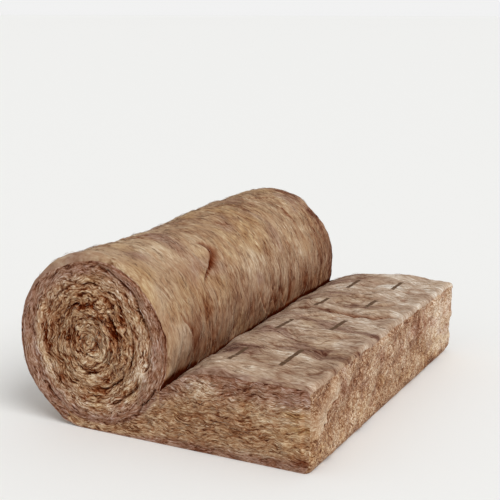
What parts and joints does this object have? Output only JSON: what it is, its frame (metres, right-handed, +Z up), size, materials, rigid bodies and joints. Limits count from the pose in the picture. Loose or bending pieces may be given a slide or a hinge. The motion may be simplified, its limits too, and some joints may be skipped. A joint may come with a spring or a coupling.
{
  "type": "insulation roll",
  "caption": "Partly unrolled roll of brown glass wool insulation: a wound spiral mat whose thick free end is laid flat and marked with cutting dashes.",
  "frame": {"origin": "centre of the bounding box's base, on the floor", "axes": "+X along the laid mat from the roll towards the cut end, +Y across the mat along the roll's axis, +Z up"},
  "size_m": [0.9486, 1.2, 0.5389],
  "materials": {
    "glass_wool": "matt brown glass wool, fibrous, with printed dark dashes"
  },
  "bodies": {
    "root": {"wool_mat": "glass_wool"}
  },
  "joints": []
}
